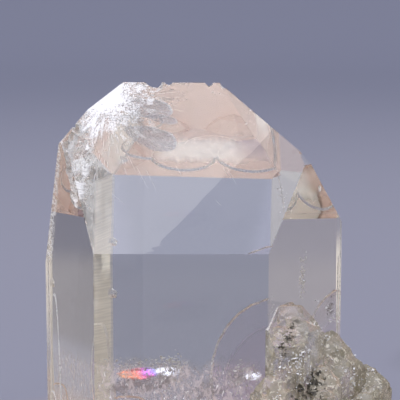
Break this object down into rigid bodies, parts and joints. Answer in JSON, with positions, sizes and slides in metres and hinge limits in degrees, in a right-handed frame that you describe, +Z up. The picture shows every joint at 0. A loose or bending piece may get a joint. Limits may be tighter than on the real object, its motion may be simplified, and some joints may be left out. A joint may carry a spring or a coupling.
{
  "type": "quartz crystal",
  "caption": "Clear quartz crystal point with a chisel-shaped tip, bruised edges and a cluster of small milky crystals on one side, standing on a flat cut.",
  "frame": {"origin": "middle of the footprint, on the flat cut", "axes": "+Z up the crystal's long axis, largest tip face towards -Y, cluster of small crystals towards +X"},
  "size_m": [0.0514, 0.0376, 0.0585],
  "materials": {
    "quartz": "clear quartz with polished natural faces, milky in the small crystals, rough and white where bruised"
  },
  "bodies": {
    "root": {"quartz_crystal": "quartz"}
  },
  "joints": []
}
